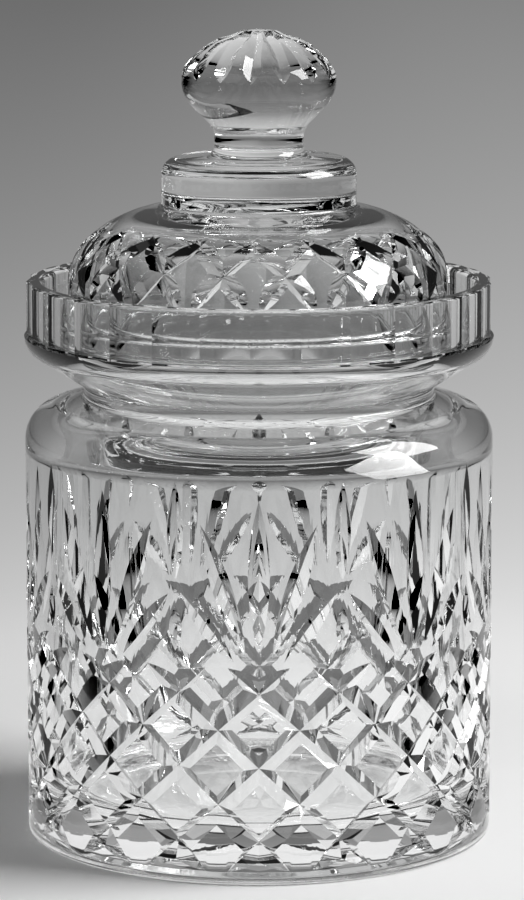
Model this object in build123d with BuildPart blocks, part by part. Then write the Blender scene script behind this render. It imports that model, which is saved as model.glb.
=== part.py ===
"""Cut-crystal biscuit jar: a cylindrical jar whose flared collar holds a loose domed lid with a knob.

Millimetres, +Z up. The origin is the centre of the foot, on the surface that the jar stands on.
Each piece starts as a blown blank, drawn as a revolved section. Every cut is then made as a glass cutter
makes it: a wheel with a pointed or rounded edge is set down, drawn along the glass and lifted, and the
same stroke is repeated round the axis.
"""

import os
from math import acos, atan2, cos, degrees, pi, radians, sin, sqrt, tan

from build123d import *

os.makedirs("parts", exist_ok=True)

# ---------------------------------------------------------------- jar blank
jar_radius = 62.5  # outside of the straight wall
wall = 7.0  # straight wall before it is cut
floor_thickness = 11.0
floor_corner = 9.0  # inside round between floor and wall
foot_bevel = 1.2  # outer edge of the foot
foot_width = 11.0  # flat ring that the jar stands on
recess_depth = 1.4  # shallow hollow ground inside the foot ring
recess_slope = 2.5

shoulder_height = 114.2  # where the wall and the shoulder's slope would meet
shoulder_slope = 14.5  # degrees above level
shoulder_round = 9.5
waist_radius = 46.8  # outside, at the notch under the collar
waist_land = 3.2  # upright stretch at the bottom of the notch
neck_wall = 6.0
neck_rise = 11.0  # upright stretch inside the neck

# ---------------------------------------------------------------- collar
collar_slope = 32.0  # degrees above level, underside of the collar
collar_heel = 6.0  # round between the underside and the upright wall
collar_height = 27.9  # from the notch to the rim
collar_wall = 5.2
rim_bevel = 1.2
seat_drop = 14.8  # the lid's seat lies this far below the rim
seat_width = 4.8

panel_count = 30  # hollow upright panels round the collar
panel_hollow = 30.0  # radius of the wheel that grinds them
panel_depth = 1.7
panel_turn = 4.0  # degrees from the front to the middle of a panel

# ---------------------------------------------------------------- lid blank
lid_clearance = 0.8  # round the flange, inside the collar
flange_thickness = 5.5
flange_step = 5.7  # the flange stands out this far from the dome
flange_bevel = 1.0
dome_straight = 8.5  # upright stretch of the dome above the flange
dome_side_round = 15.5  # from the upright stretch
dome_side_turn = 48.0  # degrees, where the side's round gives way to the top's
dome_top_round = 35.0
dome_wall = 4.8
bowl_rise = 15.5  # the plain bowl inside the dome rises this far above the upright stretch
bowl_slope_rise = 14.0  # its sloping top, up the side
bowl_slope_reach = 17.0  # and in towards the middle
disc_radius = 25.9  # stepped disc between the dome and the knob
disc_thickness = 13.0
disc_edge = 4.5  # round of its upper edge
stem_radius = 11.8
stem_height = 7.6
knob_radius = 20.5
crown_rise = 13.5  # from the knob's widest ring up to its top
crown_cap = 24.5  # radius of the knob's top
crown_round = 6.8  # from the knob's side into its top
knob_chin = 9.5  # round of the knob's lower half
knob_taper = 45.0  # degrees from upright, from the chin in to the stem

# ---------------------------------------------------------------- cuts
mitre_half_angle = 50.0  # degrees, half of the pointed wheel's edge
wheel_margin = 1.8  # how far a wheel's edge stands out of the glass
lift_share = 1.7  # each lift runs this much past the point where the wheel leaves flat glass

diamond_columns = 18  # crossed mitres round the lower wall
diamond_pitch = 20.4  # height of one diamond
diamond_middle = 30.6  # height of the middle crossing
mitre_depth = 2.3
mitre_run = 26.5  # drawn this far either way from the middle
mitre_wheel = 70.0

fan_count = 9  # one fan over every other column of diamonds
fan_start = 10.5  # from a fan's foot to its cuts
fan_leans = (0.0, 19.0, 38.0)  # degrees from upright
fan_lengths = (40.0, 36.0, 22.0)
fan_depths = (2.4, 2.2, 1.8)
spandrel_length = 26.0  # upright cut between the heads of two fans
spandrel_depth = 1.9
spandrel_drop = 9.0  # from the shoulder's corner to the top of that cut
sprig_length = 12.0  # short upright cut between the feet of two fans
sprig_depth = 1.5

dome_columns = 18  # crossed mitres round the dome
dome_mitre_place = 33.0  # degrees round the dome's side to the middle crossing
dome_mitre_lean = 37.0  # degrees from upright
dome_mitre_depth = 2.2
dome_mitre_bend = 26.0
dome_mitre_run = 9.0
dome_mitre_wheel = 40.0
dome_turn = 8.5  # degrees from the front to a middle crossing

flute_count = 15  # leaf-shaped cuts on the knob
flute_ring = 14.5  # each cut is measured from this ring on the knob's top
flute_half_angle = 56.0
flute_depth = 1.5
flute_bend = 18.0
flute_run_down = 5.0
flute_run_up = 5.0
flute_wheel = 24.0
flute_turn = -5.5  # degrees from the front to the middle of a cut

front = -90.0  # degrees, the side that faces -Y


# ---------------------------------------------------------------- sizes that follow
def cap_drop(cap, reach):
    """How far a round cap of radius cap has fallen at the distance reach from its middle."""
    return cap - sqrt(cap**2 - reach**2)


bore_radius = jar_radius - wall
neck_radius = waist_radius - neck_wall
shoulder_rise = tan(radians(shoulder_slope))
waist_foot = shoulder_height + (jar_radius - waist_radius) * shoulder_rise
waist_head = waist_foot + waist_land
rim_height = waist_head + collar_height
seat_height = rim_height - seat_drop
gallery_radius = jar_radius - collar_wall
seat_inner = gallery_radius - seat_width
heel_height = waist_head + (jar_radius - waist_radius) * tan(radians(collar_slope))
inner_shoulder_height = shoulder_height - wall / cos(radians(shoulder_slope)) + wall * shoulder_rise
neck_height = inner_shoulder_height + (bore_radius - neck_radius) * shoulder_rise

flange_radius = gallery_radius - lid_clearance
dome_radius = flange_radius - flange_step
flange_top = seat_height + flange_thickness
dome_spring = flange_top + dome_straight
side_ring = dome_radius - dome_side_round  # the dome's side is rounded about this ring
top_ring = side_ring - (dome_top_round - dome_side_round) * cos(radians(dome_side_turn))
top_ring_height = dome_spring - (dome_top_round - dome_side_round) * sin(radians(dome_side_turn))
top_turn = degrees(acos((disc_radius - top_ring) / dome_top_round))  # where the dome's top meets the disc
disc_height = top_ring_height + dome_top_round * sin(radians(top_turn))
stem_foot = disc_height + disc_thickness
stem_top = stem_foot + stem_height
taper_radius = knob_radius - knob_chin * (1 - cos(radians(knob_taper)))  # where the chin ends
taper_height = stem_top + (taper_radius - stem_radius) / tan(radians(knob_taper))
knob_height = taper_height + knob_chin * sin(radians(knob_taper))
knob_top = knob_height + crown_rise
crown_foot = knob_top - cap_drop(crown_cap, knob_radius)  # where the cap would meet the upright side
flute_height = knob_top - cap_drop(crown_cap, flute_ring)
flute_tilt = degrees(acos(flute_ring / crown_cap))
bowl_radius = dome_radius - dome_wall
bowl_top = dome_spring + bowl_rise

diamond_step = 2 * pi / diamond_columns
diamond_slope = atan2(diamond_pitch, jar_radius * diamond_step)
fan_foot = diamond_middle + diamond_pitch * sin(diamond_step) / diamond_step  # topmost crossings


# ---------------------------------------------------------------- cutting wheels
def pointed_stroke(depth, half_angle, wheel, bend=0.0, runs=(0.0, 0.0)):
    """The glass that a pointed wheel takes out in one stroke.

    The glass surface is at the origin, X points out of it and the stroke goes along Y. The wheel is drawn
    along an arc of radius bend, which follows the glass, by one run forwards and the other one backwards,
    and is lifted at both ends.
    """
    half_width = (depth + wheel_margin) * tan(radians(half_angle))
    edge = (-depth, 0), (wheel_margin, -half_width), (wheel_margin, half_width)
    lift = degrees(lift_share * acos(1 - depth / wheel))
    centre = Vector(-bend, 0, 0)
    with BuildPart() as stroke:
        for side, run in zip((1, -1), runs):
            turn = run / bend if run else 0.0
            outward = Vector(cos(turn), side * sin(turn), 0)
            hub = centre + outward * (bend - depth + wheel)
            if run:
                with BuildSketch(Plane.XZ):
                    Polygon(edge, align=None)
                revolve(axis=Axis(centre, (0, 0, 1)), revolution_arc=side * degrees(turn))
            with BuildSketch(Plane(centre + outward * bend, outward, outward.cross(Vector(0, 0, 1)))):
                Polygon(edge, align=None)
            revolve(axis=Axis(hub, (0, 0, 1)), revolution_arc=-side * lift)
    return stroke.part


def olive(depth, half_angle, length, curvature):
    """A leaf-shaped stroke of the given length: the wheel is only set down and lifted.

    curvature is how fast the glass falls away along the stroke, as one over a radius.
    """
    wheel = 1 / (8 * depth / length**2 - curvature)
    return pointed_stroke(depth, half_angle, wheel)


def laid(height, tilt=0.0, lean=0.0):
    """Turns a stroke to lean from upright, on glass that faces tilt degrees above level."""
    return Location((0, 0, height), (0, -tilt, 0)) * Location((0, 0, 0), (90 - lean, 0, 0))


def corner(section, x, z):
    """The corner of a section that lies nearest to radius x and height z."""
    return section.vertices().sort_by_distance((x, z))[0]


# ---------------------------------------------------------------- jar
with BuildPart() as jar:
    with BuildSketch(Plane.XZ) as jar_section:
        with BuildLine():
            Polyline(
                (0, recess_depth),
                (jar_radius - foot_width - recess_slope, recess_depth),
                (jar_radius - foot_width, 0),
                (jar_radius, 0),
                (jar_radius, shoulder_height),
                (waist_radius, waist_foot),
                (waist_radius, waist_head),
                (jar_radius, heel_height),
                (jar_radius, rim_height),
                (gallery_radius, rim_height),
                (gallery_radius, seat_height),
                (seat_inner, seat_height),
                (neck_radius, neck_height + neck_rise),
                (neck_radius, neck_height),
                (bore_radius, inner_shoulder_height),
                (bore_radius, floor_thickness),
                (0, floor_thickness),
                close=True,
            )
        make_face()
        fillet(corner(jar_section, jar_radius, shoulder_height), radius=shoulder_round)
        fillet(corner(jar_section, jar_radius, heel_height), radius=collar_heel)
        fillet(corner(jar_section, bore_radius, floor_thickness), radius=floor_corner)
        chamfer(corner(jar_section, jar_radius, 0), length=foot_bevel)
        chamfer(corner(jar_section, jar_radius, rim_height), length=rim_bevel)
        chamfer(corner(jar_section, gallery_radius, rim_height), length=rim_bevel)
    revolve(axis=Axis.Z)

    # crossed mitres: each follows the wall round and up, and they part the glass into diamonds
    mitre = pointed_stroke(
        mitre_depth, mitre_half_angle, mitre_wheel, jar_radius / cos(diamond_slope) ** 2, 2 * (mitre_run,)
    )
    for side in (1, -1):
        with PolarLocations(jar_radius, diamond_columns, start_angle=front):
            with Locations(laid(diamond_middle, lean=side * (90 - degrees(diamond_slope)))):
                add(mitre, mode=Mode.SUBTRACT)

    # fans: leaf-shaped cuts that spread from every other topmost crossing
    for lean, length, depth in zip(fan_leans, fan_lengths, fan_depths):
        leaf = olive(depth, mitre_half_angle, length, sin(radians(lean)) ** 2 / jar_radius)
        middle = fan_start + length / 2
        for side in (1, -1) if lean else (1,):
            across = degrees(side * middle * sin(radians(lean)) / jar_radius)
            with PolarLocations(jar_radius, fan_count, start_angle=front + across):
                with Locations(laid(fan_foot + middle * cos(radians(lean)), lean=side * lean)):
                    add(leaf, mode=Mode.SUBTRACT)

    # between two fans: a short cut over the crossing, and a tall one under the shoulder
    sprig = olive(sprig_depth, mitre_half_angle, sprig_length, 0)
    spandrel = olive(spandrel_depth, mitre_half_angle, spandrel_length, 0)
    with PolarLocations(jar_radius, fan_count, start_angle=front + 180 / fan_count):
        with Locations(laid(fan_foot + fan_start + sprig_length / 2)):
            add(sprig, mode=Mode.SUBTRACT)
        with Locations(laid(shoulder_height - spandrel_drop - spandrel_length / 2)):
            add(spandrel, mode=Mode.SUBTRACT)

    # hollow panels round the collar, run out through the rim
    with BuildSketch(Plane.XY.offset(heel_height - collar_heel)):
        with PolarLocations(
            jar_radius + panel_hollow - panel_depth, panel_count, start_angle=front + panel_turn
        ):
            Circle(panel_hollow)
    extrude(amount=rim_height - heel_height + 2 * collar_heel, mode=Mode.SUBTRACT)

jar.part.label = "jar"

# ---------------------------------------------------------------- lid
with BuildPart() as lid:
    # dome, disc, stem and knob, solid as yet
    with BuildSketch(Plane.XZ) as lid_section:
        with BuildLine():
            base = Polyline((0, seat_height), (dome_radius, seat_height), (dome_radius, dome_spring))
            CenterArc((side_ring, dome_spring), dome_side_round, start_angle=0, arc_size=dome_side_turn)
            top = CenterArc(
                (top_ring, top_ring_height),
                dome_top_round,
                start_angle=dome_side_turn,
                arc_size=top_turn - dome_side_turn,
            )
            Polyline(
                top @ 1,
                (disc_radius, stem_foot),
                (stem_radius, stem_foot),
                (stem_radius, stem_top),
                (taper_radius, taper_height),
            )
            chin = CenterArc(
                (knob_radius - knob_chin, knob_height),
                knob_chin,
                start_angle=-knob_taper,
                arc_size=knob_taper,
            )
            side = Line(chin @ 1, (knob_radius, crown_foot))
            crown = RadiusArc(side @ 1, (0, knob_top), -crown_cap)
            Line(crown @ 1, base @ 0)
        make_face()
        fillet(corner(lid_section, disc_radius, stem_foot), radius=disc_edge)
        fillet(corner(lid_section, knob_radius, crown_foot), radius=crown_round)
    revolve(axis=Axis.Z)

    # crossed mitres round the dome
    place = radians(dome_mitre_place)
    dome_mitre = pointed_stroke(
        dome_mitre_depth, mitre_half_angle, dome_mitre_wheel, dome_mitre_bend, 2 * (dome_mitre_run,)
    )
    for side in (1, -1):
        with PolarLocations(
            side_ring + dome_side_round * cos(place), dome_columns, start_angle=front + dome_turn
        ):
            with Locations(
                laid(dome_spring + dome_side_round * sin(place), dome_mitre_place, side * dome_mitre_lean)
            ):
                add(dome_mitre, mode=Mode.SUBTRACT)

    # leaf-shaped cuts round the knob
    flute = pointed_stroke(
        flute_depth, flute_half_angle, flute_wheel, flute_bend, (flute_run_up, flute_run_down)
    )
    with PolarLocations(flute_ring, flute_count, start_angle=front + flute_turn):
        with Locations(laid(flute_height, flute_tilt)):
            add(flute, mode=Mode.SUBTRACT)

    # flange that rests on the jar's seat
    with BuildSketch(Plane.XZ) as flange_section:
        with Locations((0, seat_height)):
            Rectangle(flange_radius, flange_thickness, align=Align.MIN)
        chamfer(corner(flange_section, flange_radius, seat_height), length=flange_bevel)
        chamfer(corner(flange_section, flange_radius, flange_top), length=flange_bevel)
    revolve(axis=Axis.Z)

    # plain bowl inside the dome
    with BuildSketch(Plane.XZ):
        with BuildLine():
            Polyline(
                (0, seat_height),
                (bowl_radius, seat_height),
                (bowl_radius, bowl_top - bowl_slope_rise),
                (bowl_radius - bowl_slope_reach, bowl_top),
                (0, bowl_top),
                close=True,
            )
        make_face()
    revolve(axis=Axis.Z, mode=Mode.SUBTRACT)

lid.part.label = "lid"

export_step(jar.part, "parts/jar.step")
export_step(lid.part, "parts/lid.step")
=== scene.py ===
"""Cut-crystal biscuit jar: a straight-walled jar with a flared, panelled collar and a loose domed lid.

Metres, in the frame of the packed part: +Z up, the foot on z = 0, the front towards -Y. Both pieces are made
as a glasshouse makes them. A section is drawn and spun into a smooth blank. Then a wheel with a pointed edge
is set down on the blank, drawn along it and lifted, and what the wheel sweeps is taken out of the glass. Only
the collar's panels are hollow, and one scalloped ring takes them out.
"""

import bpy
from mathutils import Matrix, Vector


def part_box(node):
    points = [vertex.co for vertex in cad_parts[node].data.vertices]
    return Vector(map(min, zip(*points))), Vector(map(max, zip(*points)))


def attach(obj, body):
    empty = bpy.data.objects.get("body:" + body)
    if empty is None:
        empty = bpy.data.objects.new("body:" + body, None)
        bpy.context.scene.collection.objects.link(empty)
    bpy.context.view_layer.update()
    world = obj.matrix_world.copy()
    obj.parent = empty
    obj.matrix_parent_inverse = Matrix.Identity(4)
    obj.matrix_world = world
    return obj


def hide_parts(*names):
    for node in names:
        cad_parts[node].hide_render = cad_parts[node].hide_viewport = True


bl_info = {
    "name": "Cut-crystal biscuit jar",
    "version": (1, 0, 0),
    "blender": (4, 5, 0),
    "location": "3D View > Sidebar > Biscuit jar",
    "description": "Builds a wheel-cut crystal biscuit jar and its lid round the packed part",
    "category": "Add Mesh",
}

from math import acos, atan2, ceil, copysign, cos, pi, radians, sin, sqrt, tan

import bpy
from mathutils import Matrix, Vector

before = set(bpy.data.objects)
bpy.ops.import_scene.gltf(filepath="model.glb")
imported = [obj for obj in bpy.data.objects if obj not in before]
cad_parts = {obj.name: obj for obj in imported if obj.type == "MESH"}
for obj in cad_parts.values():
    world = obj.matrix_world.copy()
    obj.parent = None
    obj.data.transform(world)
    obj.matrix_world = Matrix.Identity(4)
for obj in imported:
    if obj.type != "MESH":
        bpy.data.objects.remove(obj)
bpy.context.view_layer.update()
jar_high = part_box("jar")[1]
lid_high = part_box("lid")[1]

MM = 0.001
FRONT = -pi / 2  # the side that faces -Y
BLANK_STEPS = 270  # facets round a blank, a whole number in each column, panel and flute
ARC_STEP = radians(6)  # along a round of a section
STROKE_STEP = 1.5 * MM  # along a wheel's stroke
LIFT = 1.7  # how far a wheel is lifted: at 1 it would just leave flat glass
MARGIN = 1.8 * MM  # the sides of a wheel's edge stand out of the glass by this
WELD = 0.002 * MM  # vertices nearer to each other than this are merged
CREASE = radians(24)  # an edge that turns more than this stays sharp

RECESS_ROUND = 1.5 * MM  # where the hollow under the foot meets its slope
FOOT_ROUND = 1.0 * MM  # inner edge of the foot ring
SCALLOP_REACH = 1.2  # outer edge of the ring that takes out the panels, in times its inner edge
FLANGE_ROUND = 0.8 * MM  # inner corners of the flange, in the hollow and at the dome
ROOT_SHARE = 0.9  # the round of the disc's root takes up this share of it
FLANGE_CLEARANCE = 0.1 * MM  # the dome's cuts stop this far above the flange

# Noise, in waves to the metre
STREAKS = 35  # faint streaks in the glass
WAVES = 45  # slow waves that blowing leaves on it
SCUFFS = 900  # wear of the foot
GRAIN = 4000  # ground glass
FIBRES = 300  # paper


# ---------------------------------------------------------------- properties
def length(name, description, millimetres):
    """A size, given in millimetres and kept in metres."""
    return bpy.props.FloatProperty(
        name=name, description=description, default=millimetres * MM, min=0, precision=5, unit="LENGTH"
    )


def angle(name, description, degrees):
    """An angle, given in degrees."""
    return bpy.props.FloatProperty(
        name=name, description=description, default=radians(degrees), precision=2, unit="ROTATION"
    )


def count(name, description, number):
    """How many there are of something that repeats."""
    return bpy.props.IntProperty(name=name, description=description, default=number, min=1)


def amount(name, description, number):
    """A plain number."""
    return bpy.props.FloatProperty(name=name, description=description, default=number, min=0, precision=3)


def wattage(name, description, watts):
    """The power of a lamp."""
    return bpy.props.FloatProperty(name=name, description=description, default=watts, min=0, unit="POWER")


def position(name, description, *metres):
    """A place on the stage, in metres."""
    return bpy.props.FloatVectorProperty(
        name=name, description=description, default=metres, size=3, subtype="XYZ", unit="LENGTH"
    )


def colour(name, description, *rgb):
    """A colour."""
    return bpy.props.FloatVectorProperty(
        name=name, description=description, default=rgb, subtype="COLOR", size=3, min=0, max=1
    )


class JarSizes(bpy.types.PropertyGroup):
    """The jar's blank."""

    radius: length("Radius", "Outside of the straight wall", jar_high.x / MM)
    wall: length("Wall", "Straight wall before it is cut", 7)
    floor: length("Floor", "Thickness of the floor", 11)
    floor_corner: length("Floor corner", "Inside round between floor and wall", 9)
    foot_round: length("Foot round", "Outer edge of the foot", 1.2)
    foot_width: length("Foot width", "Flat ring that the jar stands on", 11)
    recess_depth: length("Recess depth", "Hollow ground inside the foot ring", 1.4)
    recess_slope: length("Recess slope", "Width of the slope into the hollow", 2.5)
    shoulder_height: length("Shoulder height", "Where the wall and the shoulder's slope would meet", 114.2)
    shoulder_slope: angle("Shoulder slope", "Above level", 14.5)
    shoulder_round: length("Shoulder round", "From the wall into the shoulder", 9.5)
    waist_radius: length("Waist radius", "Bottom of the notch under the collar", 46.8)
    waist_land: length("Waist land", "Upright stretch at the bottom of the notch", 3.2)
    waist_round: length("Waist round", "Either side of that stretch", 1.3)
    neck_wall: length("Neck wall", "Glass between the notch and the mouth", 6)
    neck_rise: length("Neck rise", "Upright stretch inside the neck", 11)
    neck_round: length("Neck round", "Softened corners inside the neck", 4)
    collar_slope: angle("Collar slope", "Underside of the collar, above level", 32)
    collar_heel: length("Collar heel", "Round between the underside and the upright wall", 6)
    collar_wall: length("Collar wall", "Thickness of the collar before it is cut", 5.2)
    height: length("Height", "Up to the rim", jar_high.z / MM)
    rim_round: length("Rim round", "Fire-polished edges of the rim", 1.5)
    seat_drop: length("Seat drop", "The lid's seat lies this far below the rim", 14.8)
    seat_width: length("Seat width", "Ground ledge that the lid rests on", 4.8)
    seat_round: length("Seat round", "Inner edge of the seat", 1)


class JarCuts(bpy.types.PropertyGroup):
    """The pattern on the jar."""

    half_angle: angle("Half angle", "Half of the pointed wheel's edge", 50)
    columns: count("Diamond columns", "Crossed mitres round the lower wall", 18)
    pitch: length("Diamond height", "From one crossing up to the next in line", 20.4)
    middle: length("Diamond middle", "Height of the middle crossing", 30.6)
    mitre_depth: length("Mitre depth", "Depth of the crossed mitres", 2.3)
    mitre_run: length("Mitre run", "Drawn this far either way from the middle", 26.5)
    mitre_wheel: length("Mitre wheel", "Radius of the wheel", 70)
    fans: count("Fans", "One over every other column of diamonds", 9)
    fan_start: length("Fan start", "From a fan's foot to its cuts", 10.5)
    fan_leans: bpy.props.FloatVectorProperty(
        name="Fan leans",
        description="Of a fan's cuts, from upright",
        default=(0, radians(19), radians(38)),
        unit="ROTATION",
    )
    fan_lengths: bpy.props.FloatVectorProperty(
        name="Fan lengths",
        description="Of a fan's cuts",
        default=(40 * MM, 36 * MM, 22 * MM),
        unit="LENGTH",
    )
    fan_depths: bpy.props.FloatVectorProperty(
        name="Fan depths",
        description="Of a fan's cuts",
        default=(2.4 * MM, 2.2 * MM, 1.8 * MM),
        unit="LENGTH",
    )
    spandrel_length: length("Spandrel length", "Upright cut between the heads of two fans", 26)
    spandrel_depth: length("Spandrel depth", "Depth of that cut", 1.9)
    spandrel_drop: length("Spandrel drop", "From the shoulder's corner to the top of that cut", 9)
    sprig_length: length("Sprig length", "Short upright cut between the feet of two fans", 12)
    sprig_depth: length("Sprig depth", "Depth of that cut", 1.5)
    panels: count("Panels", "Hollow upright panels round the collar", 30)
    panel_hollow: length("Panel hollow", "Radius of the wheel that grinds them", 30)
    panel_depth: length("Panel depth", "Depth at the middle of a panel", 1.7)
    panel_turn: angle("Panel turn", "From the front to the middle of a panel", 4)


class LidSizes(bpy.types.PropertyGroup):
    """The lid's blank."""

    flange_radius: length("Flange radius", "Outer edge of the flange", lid_high.x / MM)
    flange: length("Flange", "Thickness of the flange", 5.5)
    flange_step: length("Flange step", "The flange stands out this far from the dome", 5.7)
    flange_round: length("Flange round", "Edges of the flange", 1.1)
    straight: length("Straight", "Upright stretch of the dome above the flange", 8.5)
    side_round: length("Side round", "From the upright stretch", 15.5)
    side_turn: angle("Side turn", "Where the side's round gives way to the top's", 48)
    top_round: length("Top round", "The dome's top", 35)
    wall: length("Wall", "Thickness of the dome", 4.8)
    bowl_rise: length("Bowl rise", "Hollow of the dome above the upright stretch", 15.5)
    bowl_round: length("Bowl round", "From the hollow's side into its top", 19)
    disc_radius: length("Disc radius", "Stepped disc between the dome and the knob", 25.9)
    disc: length("Disc", "Thickness of the disc", 13)
    disc_edge: length("Disc edge", "Round of its upper edge", 4.5)
    disc_root: length("Disc root", "From the dome into the disc", 1.2)
    stem_radius: length("Stem radius", "Stem of the knob", 11.8)
    stem: length("Stem", "Height of the stem", 7.6)
    stem_root: length("Stem root", "From the disc into the stem", 3)
    taper_root: length("Taper root", "From the stem out into the knob", 6)
    taper: angle("Taper", "Slope from the stem out to the knob's chin, from upright", 45)
    knob_radius: length("Knob radius", "Widest ring of the knob", 20.5)
    knob_chin: length("Knob chin", "Round of the knob's lower half", 9.5)
    crown_cap: length("Crown cap", "Radius of the knob's top", 24.5)
    crown_round: length("Crown round", "From the knob's side into its top", 6.8)


class LidCuts(bpy.types.PropertyGroup):
    """The pattern on the lid."""

    half_angle: angle("Half angle", "Half of the pointed wheel's edge", 50)
    columns: count("Diamond columns", "Crossed mitres round the dome", 18)
    place: angle("Place", "Of the middle crossing, round the dome's side", 33)
    lean: angle("Lean", "Of the mitres, from upright", 37)
    depth: length("Depth", "Depth of the mitres", 2.3)
    bend: length("Bend", "Radius along which the wheel is drawn", 26)
    run: length("Run", "Drawn this far either way from the middle", 6.5)
    wheel: length("Wheel", "Radius of the wheel", 26)
    turn: angle("Turn", "From the front to a middle crossing", 8.5)
    flutes: count("Flutes", "Leaf-shaped cuts on the knob", 15)
    flute_ring: length("Flute ring", "Each cut is measured from this ring on the knob's top", 14.5)
    flute_half_angle: angle("Flute half angle", "Half of that wheel's edge", 56)
    flute_depth: length("Flute depth", "Depth of the flutes", 1.5)
    flute_bend: length("Flute bend", "Radius along which the wheel is drawn", 18)
    flute_run: length("Flute run", "Drawn this far up and down", 5)
    flute_wheel: length("Flute wheel", "Radius of the wheel", 24)
    flute_turn: angle("Flute turn", "From the front to the middle of a flute", -5.5)


class CrystalLook(bpy.types.PropertyGroup):
    """The glass itself."""

    tint: colour("Tint", "Clear lead crystal", 0.985, 0.988, 0.988)
    cloud: colour("Cloud", "The same glass where it is faintly streaked", 0.955, 0.96, 0.96)
    frost: colour("Frost", "Ground glass", 0.93, 0.93, 0.93)
    index: amount("Index", "Index of refraction of lead crystal", 1.545)
    seat_frost: amount("Seat frost", "How far the lid's seat is ground", 0.8)
    foot_frost: amount("Foot frost", "How far the foot is worn", 0.7)
    frost_roughness: amount("Frost roughness", "Roughness of ground glass", 0.42)
    grain: length("Grain", "Height of the grain of ground glass", 0.02)
    wave: length("Wave", "Height of the slow waves that blowing leaves", 0.05)


class StudioLook(bpy.types.PropertyGroup):
    """The stage, its lamps and the camera."""

    paper: colour("Paper", "Floor", 0.88, 0.88, 0.88)
    paper_radius: length("Paper radius", "Radius of the sheet of paper", 6000)
    paper_roughness: amount("Paper roughness", "Least roughness of the paper", 0.8)
    fibre_roughness: amount("Fibre roughness", "What the fibres add to it at most", 0.1)
    # Painted shade: the paper's glow dims with distance from the jar.
    fade: amount("Fade", "Shown brightness of the floor one metre off", 0.355)
    even_reach: length("Even reach", "The floor is shown evenly bright within this distance", 170)
    # Painted light and shade: the paper's glow is lighter on the right, by the key softbox, and darker on the
    # left.
    left: amount("Left", "Share of that brightness on the left", 0.8)
    right: amount("Right", "Share of that brightness on the right", 1.2)
    turnover: length("Turnover", "One gives way to the other within this distance of the middle", 250)
    lit_reach: length("Lit reach", "The floor shows its light and shadow within this distance", 130)
    shown_reach: length("Shown reach", "The floor shows nothing of them beyond this distance", 320)
    # Painted light: through glass, this share of the glow covers the jar's shadow on the paper near it.
    through: amount("Through", "Share of that light and shadow that the glass does not show", 0.7)
    # Painted shade: in and through glass, the paper is painted black far to the sides, for the unlit studio
    # there.
    dark_start: length("Dark start", "In and through glass, the floor darkens this far to the sides", 850)
    dark_end: length("Dark end", "It is black this far to the sides", 2000)
    key_power: wattage("Key", "Softbox on the right", 18)
    key_place: position("Key place", "Middle of that softbox", 0.95, -0.1, 0.8)
    key_side: length("Key side", "Side of that softbox", 700)
    fill_power: wattage("Fill", "Softbox on the left", 1.5)
    fill_place: position("Fill place", "Middle of that softbox", -1.0, -0.9, 0.8)
    fill_side: length("Fill side", "Side of that softbox", 1000)
    aim: position("Aim", "What the softboxes point at", 0, 0, 0.1)
    room: amount("Room", "Light that the room itself gives", 0.15)
    dim: amount("Dim", "Shown brightness of the room to the sides", 0.005)
    behind: amount("Behind", "The same behind the stage and in front of it", 0.14)
    above: amount("Above", "Shown brightness of the ceiling", 0.2)
    distance: length("Distance", "From the camera to the jar's axis", 1100)
    camera_side: length("Camera side", "The camera stands this far right of the jar's axis", 0.8)
    camera_height: length("Camera height", "Above the floor", 297)
    pitch: angle("Pitch", "How far the camera looks down", 10)
    lens: bpy.props.FloatProperty(
        name="Lens", description="Focal length of the camera", default=166.8, unit="CAMERA"
    )


GROUPS = {
    "crystal_jar": JarSizes,
    "crystal_jar_cuts": JarCuts,
    "crystal_lid": LidSizes,
    "crystal_lid_cuts": LidCuts,
    "crystal_look": CrystalLook,
    "crystal_studio": StudioLook,
}


# ---------------------------------------------------------------- sections
def arc(centre, radius, start, turn):
    """Points along an arc of a section, from the angle start on through turn."""
    steps = max(1, ceil(abs(turn) / ARC_STEP))
    angles = [start + turn * step / steps for step in range(steps + 1)]
    return [Vector((centre[0] + radius * cos(a), centre[1] + radius * sin(a))) for a in angles]


def rounded(corners):
    """Points of a line through corners of radius, height and round, with the rounds drawn as arcs."""
    points = [Vector(corners[0][:2])]
    for before, here, after in zip(corners, corners[1:], corners[2:]):
        corner, radius = Vector(here[:2]), here[2]
        back = (Vector(before[:2]) - corner).normalized()
        on = (Vector(after[:2]) - corner).normalized()
        half = back.angle(on) / 2
        if radius:
            centre = corner + (back + on).normalized() * radius / sin(half)
            start = corner + back * radius / tan(half) - centre
            turn = copysign(pi - 2 * half, on.cross(back))
            points += arc(centre, radius, atan2(start.y, start.x), turn)
        else:
            points.append(corner)
    points.append(Vector(corners[-1][:2]))
    return points


def cap_drop(cap, reach):
    """How far a round cap has fallen at the distance reach from its middle."""
    return cap - sqrt(cap**2 - reach**2)


# ---------------------------------------------------------------- bench tools
def start_piece(name):
    """Starts a new mesh with nothing else selected: one vertex at the origin, in edit mode."""
    bpy.ops.object.select_all(action="DESELECT")
    bpy.ops.mesh.primitive_plane_add(size=MM)
    piece = bpy.context.object
    piece.name = piece.data.name = name
    bpy.ops.object.mode_set(mode="EDIT")
    bpy.ops.mesh.merge(type="CENTER")
    return piece


def draw(points):
    """Takes the vertex that was started to the first point and extrudes it from point to point."""
    points = [Vector(point) for point in points]
    bpy.ops.transform.translate(value=points[0])
    for here, after in zip(points, points[1:]):
        bpy.ops.mesh.extrude_vertices_move(TRANSFORM_OT_translate={"value": after - here})


def sweep_round(centre, turn, steps):
    """Spins what is selected about an upright line through centre."""
    bpy.ops.mesh.spin(steps=steps, angle=-turn, center=centre, axis=(0, 0, 1))


def finish_mesh():
    """Welds the seams and poles, turns every face outwards and leaves edit mode."""
    bpy.ops.mesh.select_all(action="SELECT")
    bpy.ops.mesh.remove_doubles(threshold=WELD)
    bpy.ops.mesh.normals_make_consistent(inside=False)
    bpy.ops.object.mode_set(mode="OBJECT")


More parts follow.
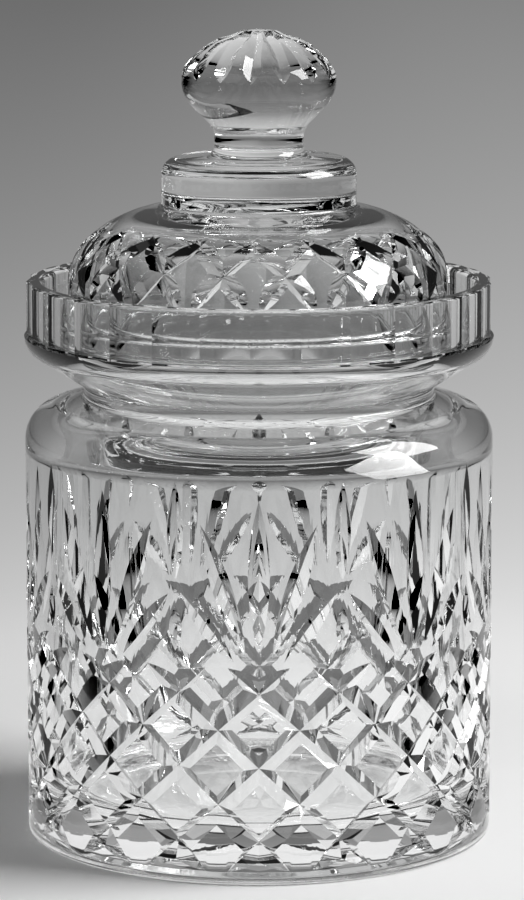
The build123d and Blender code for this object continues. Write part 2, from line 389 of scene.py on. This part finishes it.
def spin_blank(name, section):
    """A smooth blank: the section spun round the axis, half a facet off the front."""
    blank = start_piece(name)
    off = Matrix.Rotation(pi / BLANK_STEPS, 3, "Z")
    draw([off @ Vector((point.x, 0, point.y)) for point in section])
    bpy.ops.mesh.select_all(action="SELECT")
    sweep_round((0, 0, 0), 2 * pi, BLANK_STEPS)
    finish_mesh()
    return blank


def pointed_stroke(depth, half_angle, wheel, bend=0.0, back=0.0, on=0.0, lift=LIFT, margin=MARGIN):
    """What a pointed wheel sweeps in one stroke, as a closed mesh.

    The glass surface is at the origin, X points out of it and the stroke goes along Y. The wheel is drawn
    along an arc of radius bend, back and on from the origin, and is lifted at both ends: lift is 1 where it
    just leaves flat glass. The sides of its edge stand out of the glass by margin.
    """
    lift *= acos(1 - depth / wheel)
    half_width = (depth + margin) * tan(half_angle)
    centre = Vector((-bend, 0, 0))
    turns = (-back / bend, on / bend) if bend else (0.0, 0.0)
    outward = [Vector((cos(turn), sin(turn), 0)) for turn in turns]
    hubs = [centre + out * (bend - depth + wheel) for out in outward]
    lifted = Matrix.Rotation(lift, 3, "Z")
    edge = [
        centre + outward[0] * (bend + out) + Vector((0, 0, across))
        for out, across in ((margin, -half_width), (-depth, 0), (margin, half_width))
    ]
    stroke = start_piece("stroke")
    draw([hubs[0] + lifted @ (point - hubs[0]) for point in edge])
    bpy.ops.mesh.select_all(action="SELECT")
    bpy.ops.mesh.edge_face_add()
    lift_steps = ceil(lift * wheel / STROKE_STEP)
    sweep_round(hubs[0], -lift, lift_steps)
    if bend:
        sweep_round(centre, turns[1] - turns[0], ceil((back + on) / STROKE_STEP))
    sweep_round(hubs[1], -lift, lift_steps)
    finish_mesh()
    return stroke


def olive(depth, half_angle, along, curvature):
    """A leaf-shaped stroke: the wheel is only set down and lifted, on glass that curves away along it."""
    wheel = 1 / (8 * depth / along**2 - curvature)
    return pointed_stroke(depth, half_angle, wheel)


def laid(azimuth, radius, height, lean=0.0, tilt=0.0):
    """The place of a stroke that leans from upright, on glass that faces tilt above level."""
    return (
        Matrix.Rotation(azimuth, 4, "Z")
        @ Matrix.Translation((radius, 0, height))
        @ Matrix.Rotation(-tilt, 4, "Y")
        @ Matrix.Rotation(pi / 2 - lean, 4, "X")
    )


def ring(number, start, *place, **turned):
    """The same place again and again round the axis."""
    return [laid(start + 2 * pi * step / number, *place, **turned) for step in range(number)]


def repeat(stroke, places):
    """One cutter, made of a copy of the stroke at each place."""
    copies = []
    for place in places:
        copy = stroke.copy()
        copy.data = stroke.data.copy()
        copy.data.transform(place)
        bpy.context.collection.objects.link(copy)
        copies.append(copy)
    bpy.ops.object.select_all(action="DESELECT")
    for copy in copies:
        copy.select_set(True)
    bpy.context.view_layer.objects.active = copies[0]
    bpy.ops.object.join()
    return copies[0]


def cut(glass, cutter):
    """Takes out of the glass what the cutter sweeps."""
    modifier = glass.modifiers.new("Cut", "BOOLEAN")
    modifier.operation = "DIFFERENCE"
    modifier.solver = "EXACT"
    modifier.object = cutter
    bpy.context.view_layer.objects.active = glass
    bpy.ops.object.modifier_apply(modifier=modifier.name)
    bpy.data.objects.remove(cutter)


def cut_ring(glass, stroke, places, rounds=1):
    """Cuts the same stroke at each place, in so many rounds that no two strokes of a round meet."""
    for number in range(rounds):
        cut(glass, repeat(stroke, places[number::rounds]))
    bpy.data.objects.remove(stroke)


def polish(glass, material, body):
    """Smooths the glass between its cuts, gives it its material and lets it stand for its CAD node."""
    bpy.ops.object.select_all(action="DESELECT")
    glass.select_set(True)
    bpy.context.view_layer.objects.active = glass
    bpy.ops.object.mode_set(mode="EDIT")
    bpy.ops.mesh.select_all(action="SELECT")
    bpy.ops.mesh.dissolve_degenerate(threshold=WELD)
    finish_mesh()
    bpy.ops.object.shade_smooth_by_angle(angle=CREASE)
    glass.data.materials.clear()
    glass.data.materials.append(material)
    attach(glass, body)
    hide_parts(body)


# ---------------------------------------------------------------- shader tools
class Wire:
    """A socket of a node tree, on which arithmetic adds Math nodes."""

    def __init__(self, tree, socket):
        self.tree, self.socket = tree, socket

    def math(self, operation, *values):
        return self.tree.node("Math", {"operation": operation}, dict(enumerate(values)))

    def __add__(self, other):
        return self.math("ADD", self, other)

    def __sub__(self, other):
        return self.math("SUBTRACT", self, other)

    def __rsub__(self, other):
        return self.math("SUBTRACT", other, self)

    def __mul__(self, other):
        return self.math("MULTIPLY", self, other)

    def __pow__(self, other):
        return self.math("POWER", self, other)

    def __abs__(self):
        return self.math("ABSOLUTE", self)

    __radd__ = __add__
    __rmul__ = __mul__

    def at_least(self, least):
        """The value, or least where the value is under it."""
        return self.math("MAXIMUM", self, least)

    def ramp(self, start, end, first=0.0, last=1.0):
        """Eases from first to last while the value goes from start to end."""
        return self.tree.node(
            "MapRange",
            {"interpolation_type": "SMOOTHSTEP"},
            {"Value": self, "From Min": start, "From Max": end, "To Min": first, "To Max": last},
        )

    def near(self, value, reach, soft):
        """1 within reach of value, fading to 0 over soft."""
        return abs(self - value).ramp(reach, reach + soft, 1.0, 0.0)


class Tree:
    """The node tree of a material or of the world, begun afresh."""

    def __init__(self, owner):
        owner.use_nodes = True
        self.owner, self.nodes, self.links = owner, owner.node_tree.nodes, owner.node_tree.links
        self.nodes.clear()

    def node(self, kind, settings=None, sockets=None, output=0):
        """Adds a node, sets what it does, then gives its sockets their values or links."""
        node = self.nodes.new("ShaderNode" + kind)
        for key, value in (settings or {}).items():
            setattr(node, key, value)
        for key, value in (sockets or {}).items():
            if isinstance(value, Wire):
                self.links.new(value.socket, node.inputs[key])
            else:
                node.inputs[key].default_value = value
        return Wire(self, node.outputs[output]) if node.outputs else None

    def place(self, coordinates="Object"):
        """Coordinates, whole and as X, Y and Z."""
        whole = self.node("TexCoord", output=coordinates)
        parts = self.node("SeparateXYZ", sockets={0: whole}).socket.node.outputs
        return whole, [Wire(self, part) for part in parts]

    def noise(self, where, scale, detail=2.0, roughness=0.5):
        """Soft noise between 0 and 1."""
        return self.node(
            "TexNoise", sockets={"Vector": where, "Scale": scale, "Detail": detail, "Roughness": roughness}
        )

    def blend(self, factor, first, second):
        """A colour between two others."""
        return self.node("Mix", {"data_type": "RGBA"}, {"Factor": factor, 6: first, 7: second}, output=2)

    def grey(self, tone):
        """A grey of this tone."""
        return self.node("CombineColor", sockets={0: tone, 1: tone, 2: tone})

    def sight(self):
        """1 where the camera looks straight at a thing, and 1 where it sees it in or through another."""
        rays = self.nodes.new("ShaderNodeLightPath").outputs
        camera, glossy, through = [
            Wire(self, rays[name]) for name in ("Is Camera Ray", "Is Glossy Ray", "Is Transmission Ray")
        ]
        return camera, glossy + through

    def output(self, kind, surface):
        """Ends the tree."""
        self.node("Output" + kind, sockets={"Surface": surface})
        return self.owner


def crystal(scene):
    """Polished lead crystal, faintly waved, with a ground seat and a worn foot ring."""
    look, jar = scene.crystal_look, scene.crystal_jar
    tree = Tree(bpy.data.materials.new("lead_crystal"))
    where, (x, y, z) = tree.place()
    reach = (x * x + y * y) ** 0.5
    seat_middle = jar.radius - jar.collar_wall - jar.seat_width / 2
    on_seat = z.near(jar.height - jar.seat_drop, reach=0.15 * MM, soft=0.1 * MM)
    on_seat = on_seat * reach.near(seat_middle, reach=jar.seat_width / 2, soft=0.3 * MM)
    scuffs = tree.noise(where, SCUFFS, detail=4.0, roughness=0.7)
    on_foot = z.near(0.0, reach=0.2 * MM, soft=0.4 * MM) * scuffs
    frost = tree.node("Clamp", sockets={"Value": on_seat * look.seat_frost + on_foot * look.foot_frost})
    streaks = tree.noise(where, STREAKS, detail=3.0, roughness=0.6)
    glass = tree.blend(streaks, tuple(look.tint) + (1,), tuple(look.cloud) + (1,))
    waves = tree.noise(where, WAVES, detail=1.0, roughness=0.4)
    grain = tree.noise(where, GRAIN, detail=2.0, roughness=0.6)
    waved = tree.node("Bump", sockets={"Strength": 0.35, "Distance": look.wave, "Height": waves})
    ground = tree.node(
        "Bump",
        sockets={"Strength": 0.5, "Distance": look.grain, "Height": grain * frost, "Normal": waved},
    )
    surface = tree.node(
        "BsdfPrincipled",
        sockets={
            "Base Color": tree.blend(frost, glass, tuple(look.frost) + (1,)),
            "Roughness": frost * look.frost_roughness,
            "IOR": look.index,
            "Transmission Weight": 1.0,
            "Normal": ground,
        },
    )
    return tree.output("Material", surface)


# ---------------------------------------------------------------- jar
class CRYSTAL_OT_jar(bpy.types.Operator):
    """Spin the jar's blank and cut its diamonds, fans and collar panels"""

    bl_idname = "crystal.jar"
    bl_label = "Jar"
    bl_options = {"REGISTER", "UNDO"}

    def execute(self, context):
        size, cuts = context.scene.crystal_jar, context.scene.crystal_jar_cuts
        jar = spin_blank("cut_jar", self.section(size))
        self.diamonds(jar, size, cuts)
        self.fans(jar, size, cuts)
        self.panels(jar, size, cuts)
        polish(jar, crystal(context.scene), "jar")
        return {"FINISHED"}

    @staticmethod
    def section(size):
        """From the middle of the foot out, up, over the rim and down inside to the middle of the floor."""
        rise = tan(size.shoulder_slope)
        bore = size.radius - size.wall
        neck = size.waist_radius - size.neck_wall
        gallery = size.radius - size.collar_wall
        foot_inner = size.radius - size.foot_width
        waist = size.shoulder_height + (size.radius - size.waist_radius) * rise
        notch = waist + size.waist_land
        heel = notch + (size.radius - size.waist_radius) * tan(size.collar_slope)
        seat = size.height - size.seat_drop
        inner_shoulder = size.shoulder_height - size.wall / cos(size.shoulder_slope) + size.wall * rise
        neck_foot = inner_shoulder + (bore - neck) * rise
        return rounded(
            (
                (0, size.recess_depth, 0),
                (foot_inner - size.recess_slope, size.recess_depth, RECESS_ROUND),
                (foot_inner, 0, FOOT_ROUND),
                (size.radius, 0, size.foot_round),
                (size.radius, size.shoulder_height, size.shoulder_round),
                (size.waist_radius, waist, size.waist_round),
                (size.waist_radius, notch, size.waist_round),
                (size.radius, heel, size.collar_heel),
                (size.radius, size.height, size.rim_round),
                (gallery, size.height, size.rim_round),
                (gallery, seat, 0),
                (gallery - size.seat_width, seat, size.seat_round),
                (neck, neck_foot + size.neck_rise, size.neck_round),
                (neck, neck_foot, size.neck_round),
                (bore, inner_shoulder, size.shoulder_round - size.waist_round),
                (bore, size.floor, size.floor_corner),
                (0, size.floor, 0),
            )
        )

    @staticmethod
    def diamonds(jar, size, cuts):
        """Crossed mitres: each follows the wall round and up, and they part the glass into diamonds."""
        slope = atan2(cuts.pitch * cuts.columns, 2 * pi * size.radius)
        bend = size.radius / cos(slope) ** 2
        for side in (1, -1):
            mitre = pointed_stroke(
                cuts.mitre_depth, cuts.half_angle, cuts.mitre_wheel, bend, cuts.mitre_run, cuts.mitre_run
            )
            lean = side * (pi / 2 - slope)
            cut_ring(jar, mitre, ring(cuts.columns, FRONT, size.radius, cuts.middle, lean=lean))

    @staticmethod
    def fans(jar, size, cuts):
        """Leaf-shaped cuts that spread from every other topmost crossing, and the cuts between two fans."""
        step = 2 * pi / cuts.columns
        foot = cuts.middle + cuts.pitch * sin(step) / step
        for lean, along, depth in zip(cuts.fan_leans, cuts.fan_lengths, cuts.fan_depths):
            middle = cuts.fan_start + along / 2
            for side in (1, -1) if lean else (1,):
                leaf = olive(depth, cuts.half_angle, along, sin(lean) ** 2 / size.radius)
                start = FRONT + side * middle * sin(lean) / size.radius
                height = foot + middle * cos(lean)
                cut_ring(jar, leaf, ring(cuts.fans, start, size.radius, height, lean=side * lean))
        between = FRONT + pi / cuts.fans
        sprig = olive(cuts.sprig_depth, cuts.half_angle, cuts.sprig_length, 0)
        height = foot + cuts.fan_start + cuts.sprig_length / 2
        cut_ring(jar, sprig, ring(cuts.fans, between, size.radius, height))
        spandrel = olive(cuts.spandrel_depth, cuts.half_angle, cuts.spandrel_length, 0)
        height = size.shoulder_height - cuts.spandrel_drop - cuts.spandrel_length / 2
        cut_ring(jar, spandrel, ring(cuts.fans, between, size.radius, height))

    @staticmethod
    def panels(jar, size, cuts):
        """Hollow panels round the collar, ground out through the rim by one scalloped ring."""
        hub = size.radius + cuts.panel_hollow - cuts.panel_depth
        panel = 2 * pi / cuts.panels
        steps = BLANK_STEPS // cuts.panels
        outline = []
        for number in range(cuts.panels):
            for part in range(steps):
                off = panel * (part / steps - 0.5)
                reach = hub * cos(off) - sqrt(cuts.panel_hollow**2 - (hub * sin(off)) ** 2)
                turn = FRONT + cuts.panel_turn + panel * number + off
                outline.append((reach * cos(turn), reach * sin(turn), size.height - size.seat_drop))
        scallops = start_piece("scallops")
        draw(outline)
        bpy.ops.mesh.select_all(action="SELECT")
        bpy.ops.mesh.edge_face_add()
        bpy.ops.mesh.delete(type="ONLY_FACE")
        bpy.ops.mesh.select_all(action="SELECT")
        bpy.ops.mesh.extrude_edges_move()
        bpy.ops.transform.resize(value=(SCALLOP_REACH, SCALLOP_REACH, 1), center_override=(0, 0, 0))
        bpy.ops.mesh.select_all(action="SELECT")
        lift = Vector((0, 0, 2 * size.seat_drop))
        bpy.ops.mesh.extrude_region_move(TRANSFORM_OT_translate={"value": lift})
        finish_mesh()
        cut(jar, scallops)


# ---------------------------------------------------------------- lid
class CRYSTAL_OT_lid(bpy.types.Operator):
    """Spin the lid's blank and cut the diamonds of its dome and the flutes of its knob"""

    bl_idname = "crystal.lid"
    bl_label = "Lid"
    bl_options = {"REGISTER", "UNDO"}

    def execute(self, context):
        size, cuts = context.scene.crystal_lid, context.scene.crystal_lid_cuts
        seat = context.scene.crystal_jar.height - context.scene.crystal_jar.seat_drop
        lid = spin_blank("cut_lid", self.section(size, seat))
        self.flutes(lid, size, cuts)
        self.diamonds(lid, size, cuts, seat)
        polish(lid, bpy.data.materials.get("lead_crystal") or crystal(context.scene), "lid")
        return {"FINISHED"}

    @staticmethod
    def section(size, seat):
        """From the middle of the hollow out, round the flange and up over dome and disc to the knob's top."""
        dome = size.flange_radius - size.flange_step
        flange_top = seat + size.flange
        spring = flange_top + size.straight
        bowl = dome - size.wall
        bowl_top = spring + size.bowl_rise
        side_ring = dome - size.side_round
        top_ring = side_ring - (size.top_round - size.side_round) * cos(size.side_turn)
        top_ring_height = spring - (size.top_round - size.side_round) * sin(size.side_turn)
        disc_turn = acos((size.disc_radius + size.disc_root - top_ring) / size.top_round)
        disc_height = top_ring_height + size.top_round * sin(disc_turn)
        stem_foot = disc_height + size.disc
        stem_top = stem_foot + size.stem
        chin_ring = size.knob_radius - size.knob_chin
        taper_radius = chin_ring + size.knob_chin * cos(size.taper)
        taper_height = stem_top + (taper_radius - size.stem_radius) / tan(size.taper)
        knob = taper_height + size.knob_chin * sin(size.taper)
        knob_top = lid_high.z
        crown = (0, knob_top - size.crown_cap)
        crown_ring = size.knob_radius - size.crown_round
        crown_turn = acos(crown_ring / (size.crown_cap - size.crown_round))
        crown_ring_height = crown[1] + crown_ring * tan(crown_turn)
        below = rounded(
            (
                (0, bowl_top, 0),
                (bowl, bowl_top, size.bowl_round),
                (bowl, seat, FLANGE_ROUND),
                (size.flange_radius, seat, size.flange_round),
                (size.flange_radius, flange_top, size.flange_round),
                (dome, flange_top, FLANGE_ROUND),
                (dome, spring, 0),
            )
        )
        dome_side = arc((side_ring, spring), size.side_round, 0, size.side_turn)
        dome_top = arc(
            (top_ring, top_ring_height), size.top_round, size.side_turn, disc_turn - size.side_turn
        )
        stepped = rounded(
            (
                (size.disc_radius + size.disc_root, disc_height, 0),
                (size.disc_radius, disc_height, size.disc_root * ROOT_SHARE),
                (size.disc_radius, stem_foot, size.disc_edge),
                (size.stem_radius, stem_foot, size.stem_root),
                (size.stem_radius, stem_top, size.taper_root),
                (taper_radius, taper_height, 0),
            )
        )
        chin = arc((chin_ring, knob), size.knob_chin, -size.taper, size.taper)
        side = arc((crown_ring, crown_ring_height), size.crown_round, 0, crown_turn)
        top = arc(crown, size.crown_cap, crown_turn, pi / 2 - crown_turn)
        return below[:-1] + dome_side + dome_top[1:] + stepped[1:-1] + chin + side + top[1:]

    @staticmethod
    def diamonds(lid, size, cuts, seat):
        """Crossed mitres round the dome, lifted clear of the flange."""
        dome = size.flange_radius - size.flange_step
        spring = seat + size.flange + size.straight
        radius = dome - size.side_round * (1 - cos(cuts.place))
        height = spring + size.side_round * sin(cuts.place)
        for side in (1, -1):
            mitre = pointed_stroke(cuts.depth, cuts.half_angle, cuts.wheel, cuts.bend, cuts.run, cuts.run)
            places = ring(
                cuts.columns, FRONT + cuts.turn, radius, height, lean=side * cuts.lean, tilt=cuts.place
            )
            cutter = repeat(mitre, places)
            bpy.data.objects.remove(mitre)
            bpy.ops.object.mode_set(mode="EDIT")
            bpy.ops.mesh.select_all(action="SELECT")
            bpy.ops.mesh.bisect(
                plane_co=(0, 0, seat + size.flange + FLANGE_CLEARANCE),
                plane_no=(0, 0, 1),
                clear_inner=True,
                use_fill=True,
            )
            finish_mesh()
            cut(lid, cutter)

    @staticmethod
    def flutes(lid, size, cuts):
        """Leaf-shaped cuts round the knob."""
        height = lid_high.z - cap_drop(size.crown_cap, cuts.flute_ring)
        tilt = acos(cuts.flute_ring / size.crown_cap)
        flute = pointed_stroke(
            cuts.flute_depth,
            cuts.flute_half_angle,
            cuts.flute_wheel,
            cuts.flute_bend,
            cuts.flute_run,
            cuts.flute_run,
            lift=1.2,
            margin=1.0 * MM,
        )
        places = ring(cuts.flutes, FRONT + cuts.flute_turn, cuts.flute_ring, height, tilt=tilt)
        cut_ring(lid, flute, places, rounds=cuts.flutes)


# ---------------------------------------------------------------- stage
PAPER_STEPS = 96  # corners of the sheet of paper

# The room changes its tone by how much of a ray's direction points one way
FACING = (0.25, 0.8)  # to the front or the back
RISING = (0.05, 0.6)  # upwards


class CRYSTAL_OT_studio(bpy.types.Operator):
    """Lay the paper, hang the lamps and set up the camera"""

    bl_idname = "crystal.studio"
    bl_label = "Studio"
    bl_options = {"REGISTER", "UNDO"}

    def execute(self, context):
        look = context.scene.crystal_studio
        self.paper(look)
        self.softbox("key", look.key_power, look.key_side, look.key_place, look.aim)
        self.softbox("fill", look.fill_power, look.fill_side, look.fill_place, look.aim)
        self.room(context.scene, look)
        self.camera(context.scene, look)
        return {"FINISHED"}

    @staticmethod
    def paper(look):
        """A round sheet of pale paper: lit near the jar, and shown ever dimmer further off by a glow of
        painted shade, lighter on the right; seen through glass, the glow also paints light over the jar's
        shadow.
        """
        paper = start_piece("paper")
        draw([(0, 0, 0), (look.paper_radius, 0, 0)])
        bpy.ops.mesh.select_all(action="SELECT")
        sweep_round((0, 0, 0), 2 * pi, PAPER_STEPS)
        finish_mesh()
        tree = Tree(bpy.data.materials.new("paper"))
        where, (x, y, _) = tree.place()
        reach = (x * x + y * y) ** 0.5
        camera, mirrored = tree.sight()
        # Painted shade: the glow dims with distance from the jar, in place of the lamps' light falling off.
        tone = reach.at_least(look.even_reach) ** -0.5 * look.fade
        # Painted light and shade: the glow is lighter on the right, the key softbox's side, and darker on the
        # left.
        tone = tone * x.ramp(-look.turnover, look.turnover, look.left, look.right)
        # Painted shade: seen in and through glass, the paper is painted black far to the sides, for the unlit
        # studio there.
        dark = abs(x).ramp(look.dark_start, look.dark_end) * mirrored
        shown_straight = reach.ramp(look.lit_reach, look.shown_reach)
        # Painted light: through glass, the glow covers most of the jar's real shadow near it, in place of the
        # light that the glass lets through onto the floor.
        painted_share_by_glass = reach.ramp(look.lit_reach, look.shown_reach, look.through, 1.0)
        shown = shown_straight * camera + painted_share_by_glass * mirrored
        fibres = tree.noise(where, FIBRES, detail=3.0)
        flat = tree.node(
            "BsdfPrincipled",
            sockets={
                "Base Color": tuple(look.paper) + (1,),
                "Roughness": fibres * look.fibre_roughness + look.paper_roughness,
                "Specular IOR Level": 0.2,
            },
        )
        # The glow is painted light and shade on the paper, not a lamp.
        painted_floor_light = tree.node("Emission", sockets={"Color": tree.grey(tone * (1 - dark))})
        mixed = tree.node("MixShader", sockets={0: shown, 1: flat, 2: painted_floor_light})
        paper.data.materials.append(tree.output("Material", mixed))

    @staticmethod
    def softbox(name, power, side, place, aim):
        """A square soft lamp."""
        lamp = bpy.data.lights.new(name, "AREA")
        lamp.energy, lamp.size = power, side
        softbox = bpy.data.objects.new(name, lamp)
        softbox.location = place
        softbox.visible_camera = False
        softbox.rotation_euler = (Vector(aim) - Vector(place)).to_track_quat("-Z", "Y").to_euler()
        bpy.context.collection.objects.link(softbox)

    @staticmethod
    def room(scene, look):
        """A grey room: dim to the sides, lighter behind, in front and overhead."""
        scene.world = scene.world or bpy.data.worlds.new("room")
        tree = Tree(scene.world)
        _, (_, y, z) = tree.place("Generated")
        camera, mirrored = tree.sight()
        round_about = abs(y).ramp(*FACING) * look.behind + z.ramp(*RISING, look.dim, look.above)
        tone = camera * look.behind + mirrored * round_about + (1 - camera - mirrored) * look.room
        tree.output("World", tree.node("Background", sockets={"Color": tree.grey(tone), "Strength": 1.0}))

    @staticmethod
    def camera(scene, look):
        """A long lens in front of the jar, a little above it."""
        camera = bpy.data.objects.new("camera", bpy.data.cameras.new("camera"))
        camera.data.lens = look.lens
        camera.location = (look.camera_side, -look.distance, look.camera_height)
        camera.rotation_euler = (pi / 2 - look.pitch, 0, 0)
        bpy.context.collection.objects.link(camera)
        scene.camera = camera
        scene.view_settings.view_transform = "Standard"


# ---------------------------------------------------------------- panel and registration
class CRYSTAL_PT_maker(bpy.types.Panel):
    """The makers of the jar's pieces and their sizes"""

    bl_idname = "CRYSTAL_PT_maker"
    bl_label = "Biscuit jar"
    bl_space_type = "VIEW_3D"
    bl_region_type = "UI"
    bl_category = "Biscuit jar"

    def draw(self, context):
        for maker in MAKERS:
            self.layout.operator(maker.bl_idname)
        for group in GROUPS:
            box = self.layout.box()
            box.label(text=GROUPS[group].__doc__)
            for name in GROUPS[group].__annotations__:
                box.prop(getattr(context.scene, group), name)


MAKERS = (CRYSTAL_OT_jar, CRYSTAL_OT_lid, CRYSTAL_OT_studio)


def register():
    for cls in (*GROUPS.values(), *MAKERS, CRYSTAL_PT_maker):
        bpy.utils.register_class(cls)
    for name, group in GROUPS.items():
        setattr(bpy.types.Scene, name, bpy.props.PointerProperty(type=group))


def unregister():
    for name in GROUPS:
        delattr(bpy.types.Scene, name)
    for cls in (CRYSTAL_PT_maker, *reversed(MAKERS), *GROUPS.values()):
        bpy.utils.unregister_class(cls)


def main():
    register()
    bpy.ops.crystal.jar()
    bpy.ops.crystal.lid()
    bpy.ops.crystal.studio()


if __name__ == "__main__":
    main()
